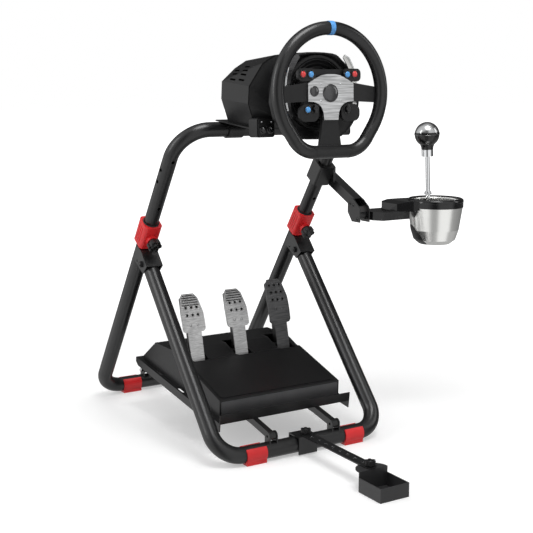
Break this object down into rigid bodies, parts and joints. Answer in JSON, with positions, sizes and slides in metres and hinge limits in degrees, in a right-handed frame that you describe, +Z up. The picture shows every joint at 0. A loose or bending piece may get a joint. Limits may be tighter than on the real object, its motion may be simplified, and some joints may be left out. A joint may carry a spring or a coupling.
{
  "type": "racing wheel stand",
  "caption": "Folding tube stand with a telescoping upper hoop that carries a game steering wheel, side gear shifter, pedal tray and caster stop.",
  "frame": {"origin": "on the floor, midway between the front and rear cross tubes and between the uprights", "axes": "+X to the driver's right, +Y away from the driver, +Z up"},
  "size_m": [0.7678, 1.032, 0.971],
  "materials": {
    "black_paint": "satin",
    "dark_sheet": "satin",
    "red_plastic": "gloss",
    "black_plastic": "satin",
    "black_gloss": "gloss",
    "steel": "brushed",
    "brushed_aluminium": "brushed",
    "pedal_aluminium": "brushed",
    "dark_aluminium": "brushed",
    "wheel_grip": "satin",
    "blue_band": "satin",
    "chrome": "polished"
  },
  "bodies": {
    "rear_frame": {"rear_frame_tube": "black_paint", "leg_channel_left": "black_paint", "leg_channel_right": "black_paint", "fold_bolts": "steel", "collar_left": "red_plastic", "collar_right": "red_plastic", "collar_knob_left": "black_plastic", "collar_knob_right": "black_plastic", "foot_pad_rear_left": "red_plastic", "foot_pad_rear_right": "red_plastic", "rear_ears": "black_paint"},
    "front_frame": {"front_frame_tube": "black_paint", "foot_pad_front_left": "red_plastic", "foot_pad_front_right": "red_plastic", "front_ears": "black_paint", "stop_clamp": "black_paint", "stop_clamp_knob": "black_plastic"},
    "caster_arm": {"stop_arm": "black_paint"},
    "caster_stop": {"caster_cup": "black_paint", "caster_knob": "black_plastic"},
    "pedal_deck": {"tray_bar_left": "black_paint", "tray_bar_right": "black_paint", "pedal_tray": "dark_sheet", "pedal_housing": "black_plastic", "pedal_axles": "steel"},
    "clutch": {"clutch_pedal": "pedal_aluminium", "clutch_arm": "black_paint"},
    "brake": {"brake_pedal": "pedal_aluminium", "brake_arm": "black_paint"},
    "throttle": {"throttle_pedal": "dark_aluminium", "throttle_arm": "black_paint"},
    "tower": {"upper_hoop_tube": "black_paint", "shifter_clamp": "black_paint", "shifter_arm": "black_paint", "shifter_knuckle": "black_paint"},
    "wheel_mount": {"wheel_plate": "dark_sheet", "plate_knobs": "black_plastic", "base_housing": "black_plastic", "base_cowl": "black_plastic", "control_panel_left": "black_plastic", "control_panel_right": "black_plastic"},
    "steering_wheel": {"steering_shaft": "steel", "hub_core": "black_plastic", "steering_rim": "wheel_grip", "rim_band": "blue_band", "wheel_spokes": "black_plastic", "hub_plate": "brushed_aluminium", "button_pods": "black_plastic"},
    "left_paddle": {"paddle_left": "brushed_aluminium"},
    "right_paddle": {"paddle_right": "brushed_aluminium"},
    "shifter": {"shifter_shelf": "black_paint", "shifter_ring": "black_gloss", "shifter_cup": "brushed_aluminium", "shifter_gate": "brushed_aluminium"},
    "cradle": {"lever_cradle": "steel"},
    "lever": {"gear_lever": "chrome", "gear_knob": "black_gloss", "gear_knob_cap": "chrome"}
  },
  "joints": [
    {"name": "front_leg_fold", "type": "hinge", "parent": "rear_frame", "child": "front_frame", "pos_m": [0, 0.01114, 0.41211], "axis": [1, 0, 0], "range_deg": [0, 70]},
    {"name": "pedal_deck_fold", "type": "hinge", "parent": "rear_frame", "child": "pedal_deck", "pos_m": [0, 0.334, 0.054], "axis": [-1, 0, 0], "range_deg": [0, 56]},
    {"name": "clutch_press", "type": "hinge", "parent": "pedal_deck", "child": "clutch", "pos_m": [-0.1185, -0.02776, 0.13057], "axis": [-1, 0, 0], "range_deg": [0, 16], "stiffness_Nm_per_rad": 20, "springref_deg": -14.32},
    {"name": "brake_press", "type": "hinge", "parent": "pedal_deck", "child": "brake", "pos_m": [0.006, -0.02776, 0.13057], "axis": [-1, 0, 0], "range_deg": [0, 16], "stiffness_Nm_per_rad": 40, "springref_deg": -14.32},
    {"name": "throttle_press", "type": "hinge", "parent": "pedal_deck", "child": "throttle", "pos_m": [0.1305, -0.02776, 0.13057], "axis": [-1, 0, 0], "range_deg": [0, 16], "stiffness_Nm_per_rad": 15, "springref_deg": -14.32},
    {"name": "stop_arm_swivel", "type": "hinge", "parent": "front_frame", "child": "caster_arm", "pos_m": [0, -0.346, 0.0443], "axis": [0, 0, 1], "range_deg": [-50, 50]},
    {"name": "caster_cup_swivel", "type": "hinge", "parent": "caster_arm", "child": "caster_stop", "pos_m": [0, -0.591, 0.0443], "axis": [0, 0, 1], "range_deg": [-45, 45]},
    {"name": "tower_height", "type": "slide", "parent": "rear_frame", "child": "tower", "axis": [0, -0.565, 0.8251], "range_m": [-0.06, 0.1]},
    {"name": "wheel_mount_tilt", "type": "hinge", "parent": "tower", "child": "wheel_mount", "pos_m": [0, -0.15639, 0.7382], "axis": [1, 0, 0], "range_deg": [-8, 15]},
    {"name": "steering_turn", "type": "hinge", "parent": "wheel_mount", "child": "steering_wheel", "pos_m": [0, -0.43188, 0.82351], "axis": [0, -0.9994, 0.0349], "range_deg": [-450, 450]},
    {"name": "left_paddle_pull", "type": "hinge", "parent": "steering_wheel", "child": "left_paddle", "pos_m": [-0.05, -0.39889, 0.82236], "axis": [0, 0.0349, 0.9994], "range_deg": [0, 4], "stiffness_Nm_per_rad": 1, "springref_deg": -11.46},
    {"name": "right_paddle_pull", "type": "hinge", "parent": "steering_wheel", "child": "right_paddle", "pos_m": [0.05, -0.39889, 0.82236], "axis": [0, -0.0349, -0.9994], "range_deg": [0, 4], "stiffness_Nm_per_rad": 1, "springref_deg": -11.46},
    {"name": "shifter_tilt", "type": "hinge", "parent": "tower", "child": "shifter", "pos_m": [0.262, -0.191, 0.5185], "axis": [1, 0, 0], "range_deg": [-10, 10]},
    {"name": "lever_side", "type": "hinge", "parent": "shifter", "child": "cradle", "pos_m": [0.4565, -0.22, 0.472], "axis": [0, 1, 0], "range_deg": [-12.5, 12.5], "stiffness_Nm_per_rad": 4},
    {"name": "lever_shift", "type": "hinge", "parent": "cradle", "child": "lever", "pos_m": [0.4565, -0.22, 0.472], "axis": [1, 0, 0], "range_deg": [-13, 13]}
  ],
  "couplings": [
    {"joint": "pedal_deck_fold", "follows": "front_leg_fold", "ratio": 0.8}
  ]
}
